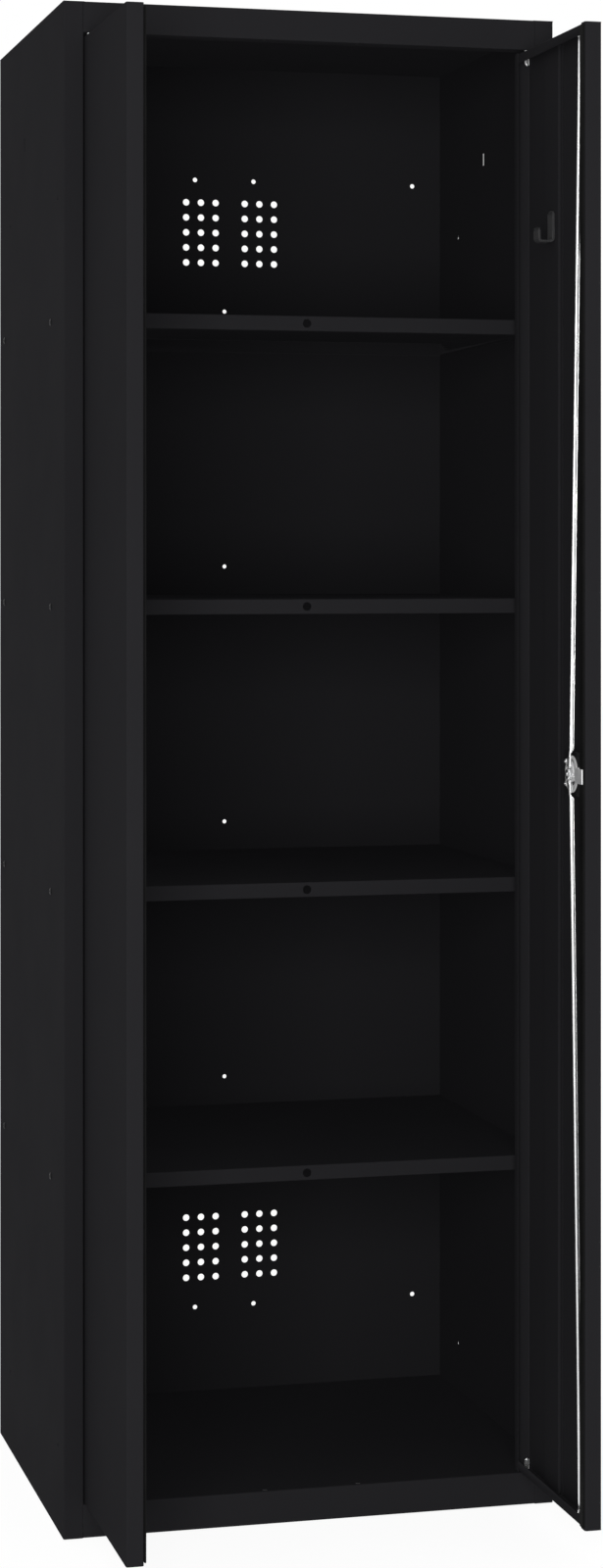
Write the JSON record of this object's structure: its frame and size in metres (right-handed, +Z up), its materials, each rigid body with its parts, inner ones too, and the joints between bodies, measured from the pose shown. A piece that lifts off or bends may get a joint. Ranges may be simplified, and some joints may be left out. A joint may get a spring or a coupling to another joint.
{
  "type": "storage cabinet",
  "caption": "Tall sheet-steel storage cabinet with fixed shelves, vented back and twin hinged pan doors closed by a three-point rod lock.",
  "frame": {"origin": "on the floor, at the middle of the whole part's footprint with both doors open square", "axes": "+Z up, -Y out of the open front, +X to the right as the front is faced"},
  "size_m": [0.6036, 0.763, 1.8],
  "materials": {
    "black_powder_coat": "satin black powder coat",
    "black_screw": "black coated screw",
    "bright_zinc": "bright zinc plate",
    "plain_steel": "dull stamped steel",
    "black_rubber": "matt black strip",
    "dark_casting": "matt black casting",
    "dark_steel": "semi-gloss black steel"
  },
  "bodies": {
    "cabinet": {"left_wall": "black_powder_coat", "right_wall": "black_powder_coat", "back_left": "black_powder_coat", "back_right": "black_powder_coat", "top_panel": "black_powder_coat", "floor_panel": "black_powder_coat", "shelf_1": "black_powder_coat", "shelf_2": "black_powder_coat", "shelf_3": "black_powder_coat", "shelf_4": "black_powder_coat", "shelf_1_screw_left_front": "black_screw", "shelf_1_screw_left_back": "black_screw", "shelf_1_screw_right_front": "black_screw", "shelf_1_screw_right_back": "black_screw", "shelf_2_screw_left_front": "black_screw", "shelf_2_screw_left_back": "black_screw", "shelf_2_screw_right_front": "black_screw", "shelf_2_screw_right_back": "black_screw", "shelf_3_screw_left_front": "black_screw", "shelf_3_screw_left_back": "black_screw", "shelf_3_screw_right_front": "black_screw", "shelf_3_screw_right_back": "black_screw", "shelf_4_screw_left_front": "black_screw", "shelf_4_screw_left_back": "black_screw", "shelf_4_screw_right_front": "black_screw", "shelf_4_screw_right_back": "black_screw", "left_top_pin": "bright_zinc", "left_bottom_pin": "bright_zinc", "left_hinge_bush": "bright_zinc", "right_top_pin": "bright_zinc", "right_bottom_pin": "bright_zinc", "right_hinge_bush": "bright_zinc"},
    "left_door": {"left_door": "black_powder_coat", "left_door_strip": "black_rubber", "left_door_stiffener": "black_powder_coat"},
    "right_door": {"right_door": "black_powder_coat", "right_door_strip": "black_rubber", "right_door_stiffener": "black_powder_coat", "door_hook": "dark_steel", "lock_case": "dark_casting", "lock_case_screw_lower": "bright_zinc", "lock_case_screw_upper": "bright_zinc", "lock_rose": "bright_zinc", "upper_rod_guide": "bright_zinc", "lower_rod_guide": "bright_zinc"},
    "lock_cam": {"lock_plug": "bright_zinc", "lock_cam": "plain_steel", "cam_nut": "bright_zinc"},
    "upper_rod": {"upper_rod": "bright_zinc"},
    "lower_rod": {"lower_rod": "bright_zinc"},
    "lock_tongue": {"lock_tongue": "plain_steel"}
  },
  "joints": [
    {"name": "left_door_swing", "type": "hinge", "parent": "cabinet", "child": "left_door", "pos_m": [-0.2685, -0.1125, 0.9], "axis": [0, 0, 1], "range_deg": [-12, 90]},
    {"name": "right_door_swing", "type": "hinge", "parent": "cabinet", "child": "right_door", "pos_m": [0.2685, -0.1125, 0.9], "axis": [0, 0, -1], "range_deg": [-12, 90]},
    {"name": "lock_turn", "type": "hinge", "parent": "right_door", "child": "lock_cam", "pos_m": [0.2615, -0.324, 0.899], "axis": [1, 0, 0], "range_deg": [0, 90]},
    {"name": "upper_rod_slide", "type": "slide", "parent": "right_door", "child": "upper_rod", "axis": [0, 0, 1], "range_m": [0, 0.008]},
    {"name": "lower_rod_slide", "type": "slide", "parent": "right_door", "child": "lower_rod", "axis": [0, 0, -1], "range_m": [0, 0.00801]},
    {"name": "tongue_slide", "type": "slide", "parent": "right_door", "child": "lock_tongue", "axis": [0, -1, 0], "range_m": [0, 0.00801]}
  ],
  "couplings": [
    {"joint": "lock_turn", "follows": "upper_rod_slide", "rad_per_m": 196.35},
    {"joint": "lower_rod_slide", "follows": "upper_rod_slide", "ratio": 1},
    {"joint": "tongue_slide", "follows": "upper_rod_slide", "ratio": 1}
  ]
}
